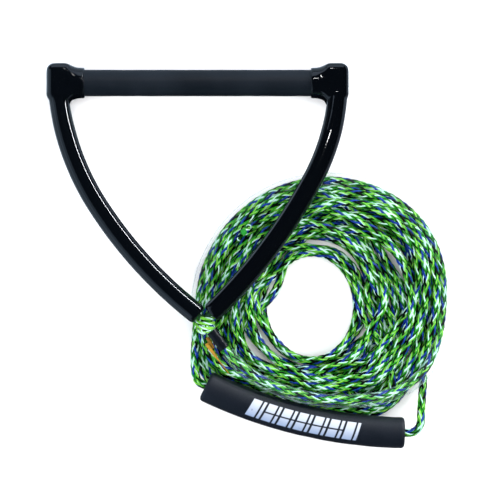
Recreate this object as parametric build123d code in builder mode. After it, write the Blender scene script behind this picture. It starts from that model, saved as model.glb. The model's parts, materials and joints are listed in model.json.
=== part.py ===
from build123d import *
import os
from math import asin, cos, degrees, pi, radians, sin, tan

os.makedirs("parts", exist_ok=True)

# Tow rope handle with its coiled rope, in millimetres.  The handle lies flat on a table: the bar
# runs along X, the two arms meet towards -Y, and z = 0 is the table.  The origin is the centre of
# the handle's own footprint.  "left" is -X and "right" is +X.

# ---------------------------------------------------------------- driving dimensions: the bar
handle_width = 307.0  # over the two moulded corners
bar_y = 117.2
bar_z = 15.0
tube_radius = 11.0
tube_wall = 1.6
tube_half_length = 149.0
grip_radius = 13.5
grip_half_length = 121.5
lip_x = 115.5  # inner edge of each corner's collar
collar_radius = 15.0
collar_root_radius = 14.9  # where the collar runs into the corner
collar_straight = 9.0
plug_length = 16.0
plug_recess = 1.5
plug_round = 1.0
core_gap = 1.0  # between the foam core and each plug
core_round = 1.5
core_half_length = tube_half_length - plug_recess - plug_length - core_gap
fit_gap = 0.1

# ---------------------------------------------------------------- driving dimensions: the arms
arm_radius = 9.7
arm_x = 143.2  # where the arms' centre lines meet the bar's axis
bridle_radius = 4.0
knuckle_depth = 25.5  # along X
knuckle_above = 19.4  # beyond the bar's axis, over the stopper knot
knuckle_below = 19.0
knuckle_thickness = 28.0
knuckle_round = 7.4
knuckle_root = 4.0  # how far the collar runs into the corner
stopper_radius = 6.5
stopper_height = 6.0
stopper_round = 2.4
web_thickness = 14.0
web_top = 10.0  # these are distances below the bar's axis
web_collar = 13.0
web_hollow = 15.8
web_foot = 22.0
web_inset = 4.0  # from the collar's lip
web_root_x = handle_width / 2 - 23.5
web_reach = 8.0
web_hollow_inset = 1.4
web_foot_outset = 1.8
left_arm_end = Vector(1.6, -119.2, 43.0)
right_arm_end = Vector(14.6, -117.4, 44.5)
arm_parting_x = 8.2  # the two arms' ends are cut to face each other here
arm_parting_gap = 0.8
arm_cut_size = 58.0
knot_nest = 0.5  # clearance of the arms' ends round the knot
left_swell = (29.5, 4.0)  # how far the left arm bows outward and upward
right_swell = (24.7, 17.0)  # the right arm rises over the coil
left_early = (60.0, 22.2)  # along the chord, and outward
left_crown_along = 130.0
right_early = (45.0, 17.0)
right_crown_along = 105.0

# ---------------------------------------------------------------- driving dimensions: the hitch
apex = Vector(8.4, -127.3, 42.0)
apex_knot_radius = 9.3
band_radius = 2.1
band_pitch = 4.2
band_count = 4
rope_radius = 4.35
sleeve_start = 10.1  # measured from the apex along the sleeve
sleeve_end = 32.1
sleeve_outer = 5.6
sleeve_inner = 4.9
sleeve_heading = Vector(0.607, -0.794, 0.0).normalized()
rope_exit = apex + sleeve_heading * sleeve_end
sleeve_rim = 0.3
splice_start = 5.0
neck_gap = 0.4
tag_width = 8.0
tag_thickness = 0.6
tag_length = 26.0
tag_upper_length = 22.0
tag_fold = 2.0  # width of the fold that joins the tag's two layers
tag_round = 1.2
tag_low = 34.5
tag_along = 13.0  # from the sleeve's start to the tag's middle
tag_beside = Vector(-8.6, -6.6, 0.0)

# ---------------------------------------------------------------- driving dimensions: the coil
coil_centre = Vector(125.6, -108.3, 0.0)
coil_radius = 119.2
coil_height = 34.0
coil_round = 13.5
hole_offset = (-8.6, -3.0)
hole_radii = (42.0, 51.5)

# ---------------------------------------------------------------- driving dimensions: the float
float_radius = 15.8
float_bore = 5.1
float_bend = 484.3  # radius of the float's own curve
float_centre = Vector(218.4, 245.4, 0.0)
float_z = 32.0
float_half_chord = 103.55
float_half_angle = degrees(asin(float_half_chord / float_bend))
float_middle_angle = -103.35
float_edge = 3.0
groove_gap = 0.5
groove_extra_angle = 5.0

# ---------------------------------------------------------------- driving dimensions: the cord
clear_tube_outer = 6.2
clear_tube_inner = 4.7
tube_start_gap = 3.4
run_share = 0.45
tube_last_share = 0.5  # of the last run of the lead that the clear tube covers

# The rope's route from the sleeve, over the coil, round it once and up to the float's left end.
lead_route = [
    (36.6, -163.7, 41.6),
    (56.0, -180.0, 41.0),
    (87.0, -194.8, 40.8),
    (124.0, -204.0, 41.0),
    (162.0, -204.6, 41.0),
    (197.5, -199.0, 40.0),
    (226.0, -182.5, 31.5),
    (241.5, -160.0, 19.0),
    (251.5, -121.0, 7.5),
    (251.4, -66.3, 6.7),
    (227.2, -19.6, 7.2),
    (184.4, 9.8, 6.8),
    (131.4, 20.6, 7.4),
    (77.4, 9.8, 6.7),
    (31.8, -21.0, 7.2),
    (4.1, -65.8, 6.7),
    (-2.5, -108.0, 6.9),
    (-1.6, -138.0, 10.0),
    (-3.2, -161.0, 21.0),
]
float_approach = (9.5, 12.5)  # the last two runs before the float
approach_shift = Vector(-1.0, 0.0, -0.9)

# The bare rope's route from the float's right end down to the coil's side.
tail_route = [
    (227.0, -232.0, 29.5),
    (227.6, -219.0, 23.5),
    (229.6, -201.5, 14.5),
    (231.6, -183.5, 7.6),
    (226.5, -165.0, 8.0),
]
tail_lead_out = 9.5

# A bight of the rope at the coil's inner edge, and the rope's melted end on top of the coil.
bight_route = [
    (99.0, -53.0, 10.0),
    (89.5, -64.5, 10.0),
    (85.5, -79.5, 10.0),
    (80.5, -94.5, 10.0),
    (70.5, -107.0, 10.0),
]
tip_place = (47.4, -35.2, 32.5)
tip_radius = 3.6
tip_height = 4.5
tip_round = 1.2

bar_axis = Axis((0, bar_y, bar_z), (1, 0, 0))
up = Vector(0, 0, 1)


def write(piece, name):
    piece.part.label = name
    export_step(piece.part, f"parts/{name}.step")


def rims_of(piece, radius):
    """The piece's round edges of one radius."""
    circles = piece.edges().filter_by(GeomType.CIRCLE)
    return [edge for edge in circles if abs(edge.radius - radius) < 0.01]


def bend_radii(points):
    """One radius for each corner: a share of the shorter run over the tangent of half the turn."""
    radii = []
    for before, corner, after in zip(points, points[1:], points[2:]):
        run_in = corner - before
        run_out = after - corner
        half_turn = radians(run_in.get_angle(run_out)) / 2
        radii.append(run_share * min(run_in.length, run_out.length) / tan(half_turn))
    return radii


def report_cord(name, piece, path, section):
    swept = piece.part.volume
    print(f"{name}: length {path.length:.1f} mm, volume ratio {swept / (path.length * section):.4f}")


def tube_along(points, radii, outer, inner=0.0):
    """A round tube, hollow if inner is given, along straight runs joined by tangent arcs."""
    with BuildPart() as tube:
        with BuildLine() as route:
            FilletPolyline(*points, radius=radii)
        path = route.wires()[0]
        with BuildSketch(Plane(origin=path @ 0, z_dir=path % 0)):
            Circle(outer)
            if inner:
                Circle(inner, mode=Mode.SUBTRACT)
        sweep(path=path)
    return tube, path


# ================================================================ the bar
with BuildPart() as grip_sleeve:
    with BuildSketch(Plane.YZ.offset(-grip_half_length)):
        with Locations((bar_y, bar_z)):
            Circle(grip_radius)
            Circle(tube_radius + fit_gap, mode=Mode.SUBTRACT)
    extrude(amount=2 * grip_half_length)
write(grip_sleeve, "grip_sleeve")

with BuildPart() as flotation_core:
    with BuildSketch(Plane.YZ.offset(-core_half_length)):
        with Locations((bar_y, bar_z)):
            Circle(tube_radius - tube_wall - fit_gap)
    extrude(amount=2 * core_half_length)
    fillet(flotation_core.edges(), radius=core_round)
write(flotation_core, "flotation_core")


# ================================================================ the arms' centre lines
def arm_plane(start, end, outward, swell):
    """The plane that holds one arm's curve: its X runs from the bar to the apex."""
    along = (end - start).normalized()
    bow = outward * swell[0] + up * swell[1]
    bow = (bow - along * bow.dot(along)).normalized()
    return Plane(origin=start, x_dir=along, z_dir=along.cross(bow))


def leg_path(plane, length, swell, early, crown_along, to_apex):
    """One leg of the bridle: out of the stopper knot, through the bar, along the arm."""
    swell_scale = Vector(*swell).length / swell[0]
    crown = (crown_along, swell[0] * swell_scale)
    with BuildLine(plane) as path:
        first = ThreePointArc((0, 0), (early[0], early[1] * swell_scale), crown)
        second = TangentArc(crown, (length, 0), tangent=first.tangent_at(1))
    if not to_apex:
        return path.wires()[0]
    finish = path.wires()[0]
    with BuildLine() as leg:
        add(path.line)
        TangentArc(finish @ 1, apex, tangent=finish % 1)
    return leg.wires()[0]


arms = {
    "left": (-1, left_arm_end, left_swell, left_early, left_crown_along),
    "right": (1, right_arm_end, right_swell, right_early, right_crown_along),
}
arm_lines = {}
leg_lines = {}
for side, (sign, end, swell, early, crown_along) in arms.items():
    start = Vector(sign * arm_x, bar_y, bar_z)
    chord = end - start
    outward = Vector(sign * abs(chord.Y), -abs(chord.X), 0).normalized()
    plane = arm_plane(start, end, outward, swell)
    arm_lines[side] = leg_path(plane, chord.length, swell, early, crown_along, False)
    leg_lines[side] = leg_path(plane, chord.length, swell, early, crown_along, True)


def swept_leg(side, radius, to_apex):
    """A round solid along a leg, with its straight stub through the bar."""
    path = leg_lines[side] if to_apex else arm_lines[side]
    sign = arms[side][0]
    with BuildPart() as leg:
        with BuildSketch(Plane(origin=path @ 0, z_dir=path % 0)):
            Circle(radius)
        sweep(path=path)
        with Locations((sign * arm_x, bar_y, bar_z)):
            Sphere(radius)
        with BuildSketch(Plane.XZ.offset(-bar_y)):
            with Locations((sign * arm_x, bar_z)):
                Circle(radius)
        extrude(amount=-(tube_radius + fit_gap))
    return leg


# ================================================================ end plugs, tube and bridle
leg_bores = {side: swept_leg(side, bridle_radius + fit_gap, False).part for side in arms}

with BuildPart() as bar_tube:
    with BuildSketch(Plane.YZ.offset(-tube_half_length)):
        with Locations((bar_y, bar_z)):
            Circle(tube_radius)
            Circle(tube_radius - tube_wall, mode=Mode.SUBTRACT)
    extrude(amount=2 * tube_half_length)
    for bore in leg_bores.values():
        add(bore, mode=Mode.SUBTRACT)
write(bar_tube, "bar_tube")

for side, (sign, *_) in arms.items():
    plug_x = sign * (tube_half_length - plug_recess - plug_length / 2)
    with BuildPart() as end_plug:
        with BuildSketch(Plane.YZ.offset(plug_x - plug_length / 2)):
            with Locations((bar_y, bar_z)):
                Circle(tube_radius - tube_wall - fit_gap)
        extrude(amount=plug_length)
        fillet(end_plug.edges(), radius=plug_round)
        add(leg_bores[side], mode=Mode.SUBTRACT)
    write(end_plug, f"end_plug_{side}")

    with BuildPart() as stopper_knot:
        with BuildSketch(Plane.XZ.offset(-(bar_y + tube_radius + fit_gap))):
            with Locations((sign * arm_x, bar_z)):
                Circle(stopper_radius)
        extrude(amount=-stopper_height)
        fillet(stopper_knot.edges().sort_by(Axis.Y)[-1], radius=stopper_round)
    write(stopper_knot, f"stopper_knot_{side}")

bridle_legs = [swept_leg(side, bridle_radius, True).part for side in arms]
with BuildPart() as bridle_rope:
    for leg in bridle_legs:
        add(leg)
    with Locations(apex):
        Sphere(bridle_radius)
write(bridle_rope, "bridle_rope")


# ================================================================ moulded corners with their arms
def corner_block(sign):
    """The rounded block over the bar's end."""
    block_x = sign * (handle_width - knuckle_depth) / 2
    block_y = bar_y + (knuckle_above - knuckle_below) / 2
    with BuildPart() as block:
        with BuildSketch(Plane.XY.offset(bar_z - knuckle_thickness / 2)):
            with Locations((block_x, block_y)):
                Rectangle(knuckle_depth, knuckle_above + knuckle_below)
        extrude(amount=knuckle_thickness)
        fillet(block.edges(), radius=knuckle_round)
    return block.part


def corner_web(sign):
    """The curved web that fills the angle between the collar and the arm."""
    far_x = sign * (web_root_x + web_reach)
    with BuildPart() as web:
        with BuildSketch(Plane.XY.offset(bar_z - web_thickness / 2)):
            with BuildLine():
                top = Line((far_x, bar_y - web_top), (sign * (lip_x + web_inset), bar_y - web_collar))
                hollow = ThreePointArc(
                    top @ 1,
                    (sign * (web_root_x - web_hollow_inset), bar_y - web_hollow),
                    (sign * (web_root_x + web_foot_outset), bar_y - web_foot),
                )
                foot = Line(hollow @ 1, (far_x, bar_y - web_foot))
                Line(foot @ 1, top @ 0)
            make_face()
        extrude(amount=web_thickness)
    return web.part


for side, (sign, *_) in arms.items():
    block = corner_block(sign)
    web = corner_web(sign)
    arm_line = arm_lines[side]
    inner_root = handle_width / 2 - knuckle_depth + knuckle_root
    with BuildPart() as yoke_cover:
        with BuildSketch(Plane(origin=arm_line @ 0, z_dir=arm_line % 0)):
            Circle(arm_radius)
        sweep(path=arm_line)
        add(block)
        add(web)
        with BuildSketch(Plane.XY.offset(bar_z)):
            with BuildLine():
                Polyline(
                    (sign * lip_x, bar_y),
                    (sign * lip_x, bar_y + collar_radius),
                    (sign * (lip_x + collar_straight), bar_y + collar_radius),
                    (sign * inner_root, bar_y + collar_root_radius),
                    (sign * inner_root, bar_y),
                    close=True,
                )
            make_face()
        revolve(axis=bar_axis)
        with BuildSketch(Plane.YZ.offset(sign * lip_x)):
            with Locations((bar_y, bar_z)):
                Circle(tube_radius + fit_gap)
        extrude(amount=sign * (tube_half_length - lip_x + fit_gap), mode=Mode.SUBTRACT)
        with BuildSketch(Plane.YZ.offset(sign * lip_x)):
            with Locations((bar_y, bar_z)):
                Circle(grip_radius + fit_gap)
        extrude(amount=sign * (grip_half_length - lip_x + fit_gap), mode=Mode.SUBTRACT)
        with BuildSketch(Plane.XZ.offset(-bar_y)):
            with Locations((sign * arm_x, bar_z)):
                Circle(stopper_radius + fit_gap)
        extrude(amount=-(tube_radius + 2 * fit_gap + stopper_height), mode=Mode.SUBTRACT)
        add(leg_bores[side], mode=Mode.SUBTRACT)
        with Locations(apex):
            Sphere(apex_knot_radius + knot_nest, mode=Mode.SUBTRACT)
        cut_align = (Align.MIN if sign < 0 else Align.MAX, Align.CENTER, Align.CENTER)
        with Locations((arm_parting_x + sign * arm_parting_gap / 2, apex.Y, apex.Z)):
            Box(arm_cut_size, arm_cut_size, arm_cut_size, align=cut_align, mode=Mode.SUBTRACT)
    write(yoke_cover, f"yoke_cover_{side}")

# ================================================================ the knot at the apex
with BuildPart() as apex_knot:
    with Locations(apex):
        Sphere(apex_knot_radius - band_radius)
    band_ring = apex_knot_radius - band_radius
    for band in range(band_count):
        lift = (band - (band_count - 1) / 2) * band_pitch
        ring_radius = (band_ring**2 - lift**2) ** 0.5
        with Locations(apex + Vector(0, lift, 0)):
            Torus(ring_radius, band_radius, rotation=(90, 0, 0))
write(apex_knot, "apex_knot")

# ================================================================ the splice sleeve and its tag
sleeve_plane = Plane(origin=apex + sleeve_heading * sleeve_start, x_dir=up, z_dir=sleeve_heading)
with BuildPart() as splice_sleeve:
    with BuildSketch(sleeve_plane):
        Circle(sleeve_outer)
        Circle(sleeve_inner, mode=Mode.SUBTRACT)
    extrude(amount=sleeve_end - sleeve_start)
    fillet(rims_of(splice_sleeve, sleeve_outer), radius=sleeve_rim)
write(splice_sleeve, "splice_sleeve")

splice_plane = Plane(origin=apex + sleeve_heading * splice_start, x_dir=up, z_dir=sleeve_heading)
with BuildPart() as rope_splice:
    with BuildSketch(splice_plane):
        Circle(sleeve_inner)
    extrude(amount=sleeve_end - splice_start - rope_radius - neck_gap)
    with Locations(apex):
        Sphere(apex_knot_radius + neck_gap, mode=Mode.SUBTRACT)
write(rope_splice, "rope_splice")

tag_middle = apex + sleeve_heading * (sleeve_start + tag_along) + tag_beside
tag_plane = Plane(
    origin=Vector(tag_middle.X, tag_middle.Y, tag_low),
    x_dir=sleeve_heading,
    z_dir=up,
)
with BuildPart() as size_tag:
    with BuildSketch(tag_plane):
        RectangleRounded(tag_length, tag_width, tag_round)
    extrude(amount=tag_thickness)
    with BuildSketch(tag_plane.offset(tag_thickness)):
        Rectangle(tag_fold, tag_width)
    extrude(amount=tag_thickness)
    with BuildSketch(tag_plane.offset(2 * tag_thickness)):
        with Locations((-tag_fold, 0)):
            RectangleRounded(tag_upper_length, tag_width, tag_round)
    extrude(amount=tag_thickness)
write(size_tag, "size_tag")

# ================================================================ the float
spin_axis = Axis(tuple(float_centre), (0, 0, 1))


def float_arc(radius, inner, extra_angle):
    """A round bar, hollow if inner is given, bent along the float's own curve."""
    first_angle = float_middle_angle - float_half_angle - extra_angle
    radial = Vector(cos(radians(first_angle)), sin(radians(first_angle)), 0)
    section_plane = Plane(
        origin=float_centre + radial * float_bend + Vector(0, 0, float_z),
        x_dir=radial,
        z_dir=radial.cross(up),
    )
    with BuildPart() as bent:
        with BuildSketch(section_plane):
            Circle(radius)
            if inner:
                Circle(inner, mode=Mode.SUBTRACT)
        revolve(axis=spin_axis, revolution_arc=2 * (float_half_angle + extra_angle))
    return bent.part


def float_point(angle):
    """A point on the float's centre line."""
    offset = Vector(cos(radians(angle)), sin(radians(angle)), 0) * float_bend
    return float_centre + offset + Vector(0, 0, float_z)


float_solid = float_arc(float_radius, float_bore, 0.0)
with BuildPart() as float_body:
    add(float_solid)
    fillet(rims_of(float_body, float_radius), radius=float_edge)
write(float_body, "float_body")

float_rope_solid = float_arc(rope_radius, 0.0, 0.0)
with BuildPart() as float_rope:
    add(float_rope_solid)
write(float_rope, "float_rope")

# ================================================================ the coil
groove = float_arc(float_radius + groove_gap, 0.0, groove_extra_angle)
with BuildPart() as rope_coil:
    with BuildSketch():
        with Locations((coil_centre.X, coil_centre.Y)):
            Circle(coil_radius)
        with Locations((coil_centre.X + hole_offset[0], coil_centre.Y + hole_offset[1])):
            Ellipse(*hole_radii, mode=Mode.SUBTRACT)
    extrude(amount=coil_height)
    fillet(rope_coil.edges().filter_by(Plane.XY), radius=coil_round)
    add(groove, mode=Mode.SUBTRACT)
write(rope_coil, "rope_coil")

# ================================================================ the free rope's plain tubes
left_angle = float_middle_angle - float_half_angle
right_angle = float_middle_angle + float_half_angle
left_mouth = float_point(left_angle)
right_mouth = float_point(right_angle)
left_heading = Vector(-sin(radians(left_angle)), cos(radians(left_angle)), 0)
right_heading = Vector(-sin(radians(right_angle)), cos(radians(right_angle)), 0)
last_corner = left_mouth - left_heading * float_approach[0]

lead_points = [rope_exit]
lead_points += [Vector(*place) for place in lead_route]
corner_before = last_corner + (lead_points[-1] - last_corner).normalized() * float_approach[1]
lead_points += [corner_before + approach_shift, last_corner, left_mouth]
lead_radii = bend_radii(lead_points)
print("lead bend radii:", [round(radius, 1) for radius in lead_radii])
rope_lead, lead_path = tube_along(lead_points, lead_radii, rope_radius)
report_cord("rope_lead", rope_lead, lead_path, pi * rope_radius**2)
lead_tube_solid = rope_lead.part
with BuildPart() as rope_lead:
    add(lead_tube_solid)
    with Locations(rope_exit):
        Sphere(rope_radius)
write(rope_lead, "rope_lead")

first_run = (lead_points[1] - lead_points[0]).normalized()
tube_points = [lead_points[0] + first_run * tube_start_gap]
tube_points += lead_points[1 : len(lead_route) + 1]
last_run = lead_points[len(lead_route)] - lead_points[len(lead_route) - 1]
tube_points[-1] = lead_points[len(lead_route) - 1] + last_run * tube_last_share
clear_tube, clear_path = tube_along(
    tube_points, lead_radii[: len(tube_points) - 2], clear_tube_outer, clear_tube_inner
)
report_cord("clear_tube", clear_tube, clear_path, pi * (clear_tube_outer**2 - clear_tube_inner**2))
write(clear_tube, "clear_tube")

tail_points = [right_mouth, right_mouth + right_heading * tail_lead_out]
tail_points += [Vector(*place) for place in tail_route]
tail_radii = bend_radii(tail_points)
print("tail bend radii:", [round(radius, 1) for radius in tail_radii])
rope_tail, tail_path = tube_along(tail_points, tail_radii, rope_radius)
report_cord("rope_tail", rope_tail, tail_path, pi * rope_radius**2)
write(rope_tail, "rope_tail")

bight_points = [Vector(*place) for place in bight_route]
bight_radii = bend_radii(bight_points)
print("bight bend radii:", [round(radius, 1) for radius in bight_radii])
boat_bight, bight_path = tube_along(bight_points, bight_radii, rope_radius)
report_cord("boat_bight", boat_bight, bight_path, pi * rope_radius**2)
write(boat_bight, "boat_bight")

with BuildPart() as rope_tip:
    with BuildSketch(Plane.XY.offset(tip_place[2])):
        with Locations((tip_place[0], tip_place[1])):
            Circle(tip_radius)
    extrude(amount=tip_height)
    fillet(rope_tip.edges().sort_by(Axis.Z)[-1], radius=tip_round)
write(rope_tip, "rope_tip")

for name, place in (("left_mouth", left_mouth), ("right_mouth", right_mouth), ("rope_exit", rope_exit)):
    print(name, [round(value, 2) for value in place])
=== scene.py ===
import json
import math

import bmesh
import bpy
import numpy as np
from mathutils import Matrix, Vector

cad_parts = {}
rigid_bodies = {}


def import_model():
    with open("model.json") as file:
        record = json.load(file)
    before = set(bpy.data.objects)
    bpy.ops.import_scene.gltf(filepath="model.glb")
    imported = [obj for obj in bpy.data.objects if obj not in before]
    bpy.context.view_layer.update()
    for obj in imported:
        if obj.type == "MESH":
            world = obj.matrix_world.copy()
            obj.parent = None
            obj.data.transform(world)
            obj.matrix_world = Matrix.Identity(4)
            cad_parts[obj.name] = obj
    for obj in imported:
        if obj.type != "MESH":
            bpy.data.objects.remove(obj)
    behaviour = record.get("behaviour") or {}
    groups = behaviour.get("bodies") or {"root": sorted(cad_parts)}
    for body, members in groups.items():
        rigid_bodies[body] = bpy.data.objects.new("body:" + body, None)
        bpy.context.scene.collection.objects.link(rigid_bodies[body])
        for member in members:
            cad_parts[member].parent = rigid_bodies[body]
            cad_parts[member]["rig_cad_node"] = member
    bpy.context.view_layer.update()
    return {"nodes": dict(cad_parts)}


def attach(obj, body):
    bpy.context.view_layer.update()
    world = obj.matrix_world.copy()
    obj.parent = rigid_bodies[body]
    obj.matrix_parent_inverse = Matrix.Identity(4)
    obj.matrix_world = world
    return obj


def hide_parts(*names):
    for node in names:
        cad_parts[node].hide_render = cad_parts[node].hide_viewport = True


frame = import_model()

# Tow rope handle, all sizes in metres, in the frame of the CAD model: the bar runs along X, the
# arms meet towards -Y, and z = 0 is the table that everything lies on.

# ---------- sizes shared with the CAD
ROPE_RADIUS = 0.00435
ROPE_DIAMETER = 2 * ROPE_RADIUS
ROPE_EXIT = (0.0279, -0.1528, 0.042)
COIL_CENTRE = np.array([0.1256, -0.1083])
COIL_HEIGHT = 0.034
COIL_ROUND = 0.0135
HOLE_CENTRE = COIL_CENTRE + np.array([-0.0086, -0.003])
HOLE_RADII = np.array([0.042, 0.0515])
BAR_Y, BAR_Z = 0.1172, 0.015
FLOAT_BEND = 0.4843
FLOAT_CENTRE = np.array([0.2184, 0.2454])
FLOAT_Z = 0.032
FLOAT_RADIUS = 0.0158
FLOAT_MIDDLE = math.radians(-103.35)
FLOAT_HALF = math.asin(0.10355 / FLOAT_BEND)
# these follow the photo instead: the CAD has a plain ring of turns and a thicker clear tube
COIL_RADIUS = 0.1218
CLEAR_OUTER, CLEAR_INNER = 0.0066, 0.0062
SLEEVE_OFFSET, SLEEVE_EASE = 0.0018, 0.030

# The rope's route from the sleeve, over the coil, round it once and up to the float's left end:
# the part's own points, and the two runs up to the float.
LEAD_ROUTE = [
    (0.0366, -0.1637, 0.0416),
    (0.0560, -0.1800, 0.0410),
    (0.0870, -0.1948, 0.0408),
    (0.1240, -0.2040, 0.0410),
    (0.1620, -0.2046, 0.0410),
    (0.1975, -0.1990, 0.0400),
    (0.2260, -0.1825, 0.0315),
    (0.2415, -0.1600, 0.0190),
    (0.2515, -0.1210, 0.0075),
    (0.2514, -0.0663, 0.0067),
    (0.2272, -0.0196, 0.0072),
    (0.1844, 0.0098, 0.0068),
    (0.1314, 0.0206, 0.0074),
    (0.0774, 0.0098, 0.0067),
    (0.0318, -0.0210, 0.0072),
    (0.0041, -0.0658, 0.0067),
    (-0.0025, -0.1080, 0.0069),
    (-0.0016, -0.1380, 0.0100),
    (-0.0032, -0.1610, 0.0210),
    (-0.0025, -0.1755, 0.0263),
    (-0.0002, -0.1869, 0.0320),
]
# How far, along X and Y, four of those points are drawn in at the coil's left side, where the rope
# is pulled closer to the coil than its solid.
DRAWN_IN = {13: (0.0006, -0.0012), 14: (0.0027, -0.0022), 15: (0.0039, -0.0011), 16: (0.0025, 0.0)}
for number, (aside, ahead) in DRAWN_IN.items():
    x, y, z = LEAD_ROUTE[number]
    LEAD_ROUTE[number] = (round(x + aside, 4), round(y + ahead, 4), z)

# The bare rope from the float's right end down to the coil's side.
TAIL_ROUTE = [
    (0.2194, -0.2390, 0.0320),
    (0.2270, -0.2320, 0.0295),
    (0.2276, -0.2190, 0.0235),
    (0.2296, -0.2015, 0.0145),
    (0.2316, -0.1835, 0.0076),
    (0.2265, -0.1650, 0.0080),
]

# A low turn leans into the hole at its left.
BIGHT_ROUTE = [
    (0.0990, -0.0530, 0.0100),
    (0.0895, -0.0645, 0.0100),
    (0.0855, -0.0795, 0.0100),
    (0.0805, -0.0945, 0.0100),
    (0.0705, -0.1070, 0.0100),
]

# The rope's melted end stands up between the top turns.
TIP_ROUTE = [
    (0.0745, -0.0205, 0.0265),
    (0.0640, -0.0256, 0.0262),
    (0.0560, -0.0297, 0.0275),
    (0.0502, -0.0333, 0.0315),
    (0.0474, -0.0352, 0.0368),
]

# ---------- the camera
CAMERA_LENS = 150.0
FRAME_WIDTH = 0.5075  # what the picture spans at the part's middle height
FRAME_CENTRE = (0.0535, -0.0535)
FRAME_HEIGHT_Z = 0.030


def add_object(name, data):
    """A new object in the scene."""
    made = bpy.data.objects.new(name, data)
    bpy.context.scene.collection.objects.link(made)
    return made


def make_camera():
    """A long lens straight above the part."""
    data = bpy.data.cameras.new("camera")
    data.lens = CAMERA_LENS
    data.sensor_width = 36.0
    distance = FRAME_WIDTH * data.lens / data.sensor_width
    camera = add_object("camera", data)
    camera.location = (*FRAME_CENTRE, FRAME_HEIGHT_Z + distance)
    data.clip_start, data.clip_end = 0.05, 20.0
    bpy.context.scene.camera = camera


# ---------- the coil's turns
POINTS_PER_TURN = 96
CONTROL_STEP = 4  # every fourth point of a settled turn is a control point
START_ANGLE = math.radians(-24.0)
END_ANGLE = math.radians(110.0)
WHOLE_TURNS = 22
TURNS = WHOLE_TURNS + (END_ANGLE - START_ANGLE) / (2 * math.pi)
TURN_GAP = 0.00875  # how near two turns' middles may come
RELAX_ROUNDS = 420
LIST_EVERY = 7
SMOOTHING = 0.35
SETTLE = 0.00006
START_HEIGHT = 0.0085
END_RADIUS = 0.1015
END_HEIGHT = 0.0265
HOLE_PLAY, RIM_PLAY = 0.0010, 0.0003
EASE = 26  # points over which the first and last turns leave their fixed places
BIGHT_TURN = 3
BIGHT_EASE = 9  # points over which a turn bends to the one that leans into the hole
HELD_ENDS = 3  # points at each end that never move
LEAD_CLEARANCE = 0.0050  # half the gap kept between the lead's middle and the turns beside it
FLOAT_CLEARANCE = 0.0006
ROUTE_STEP = 0.004
# where loose turns reach out: direction from the coil's centre, half width, reach, and which turns
LOOSE_BULGES = (
    (math.radians(-148.5), math.radians(42.0), 0.0245, (1, 2, 4, 6, 9, 12, 15, 18, 20)),
    (math.radians(-58.0), math.radians(27.0), 0.0120, (2, 6, 9, 13, 18)),
    (math.radians(42.0), math.radians(62.0), 0.0085, (1, 2, 3, 5, 7, 13, 16, 19, 21)),
)
PULL_SPREAD = 1.7
PULL = 0.95  # the share of the way that a turn is pulled to its place
# stretches, in turns, that lie along the rim and along the hole
RIM_TURNS = ((0.3, 2.4), (8.1, 9.4), (15.2, 16.3))
HOLE_TURNS = ((3.4, 5.1), (10.6, 11.7), (17.4, 18.5))
# where turns keep to one part of the band: direction, half width, share of the band, and which turns
KEPT_TURNS = (
    (math.radians(8.0), math.radians(85.0), 0.11, (10,)),
    (math.radians(22.0), math.radians(100.0), 0.20, (6, 14)),
    (math.radians(45.0), math.radians(85.0), 0.33, (8, 12, 20)),
    (math.radians(36.0), math.radians(75.0), 0.48, (9, 15)),
)


def as_points(x, y, z):
    """Points from their X, Y and Z."""
    return np.stack(np.broadcast_arrays(x, y, z), axis=1)


def around(count, start=0.0):
    """Angles evenly round a full turn."""
    return start + 2 * math.pi * np.arange(count) / count


def hump(x):
    """1 at 0, falling smoothly to 0 at -1 and 1."""
    return 0.5 + 0.5 * np.cos(math.pi * np.clip(np.abs(x), 0, 1))


def rim(angle):
    """Distance from the coil's centre to its rim."""
    distance = COIL_RADIUS
    for centre, spread, reach, _ in LOOSE_BULGES:
        away = (angle - centre + math.pi) % (2 * math.pi) - math.pi
        distance = distance + reach * hump(away / spread)
    return distance


def hole_edge(angle):
    """Distance from the coil's centre to the hole's edge."""
    direction = np.stack([np.cos(angle), np.sin(angle)], axis=-1)
    offset = COIL_CENTRE - HOLE_CENTRE
    a = ((direction / HOLE_RADII) ** 2).sum(-1)
    b = 2 * (direction * offset / HOLE_RADII**2).sum(-1)
    c = ((offset / HOLE_RADII) ** 2).sum() - 1
    return (-b + np.sqrt(b * b - 4 * a * c)) / (2 * a)


def on_polar(route):
    """A route's points as angle and distance round the coil's centre, and height."""
    points = np.array(route)
    from_centre = points[:, :2] - COIL_CENTRE
    angle = np.unwrap(np.arctan2(from_centre[:, 1], from_centre[:, 0]))
    return angle, np.linalg.norm(from_centre, axis=1), points[:, 2]


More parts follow.
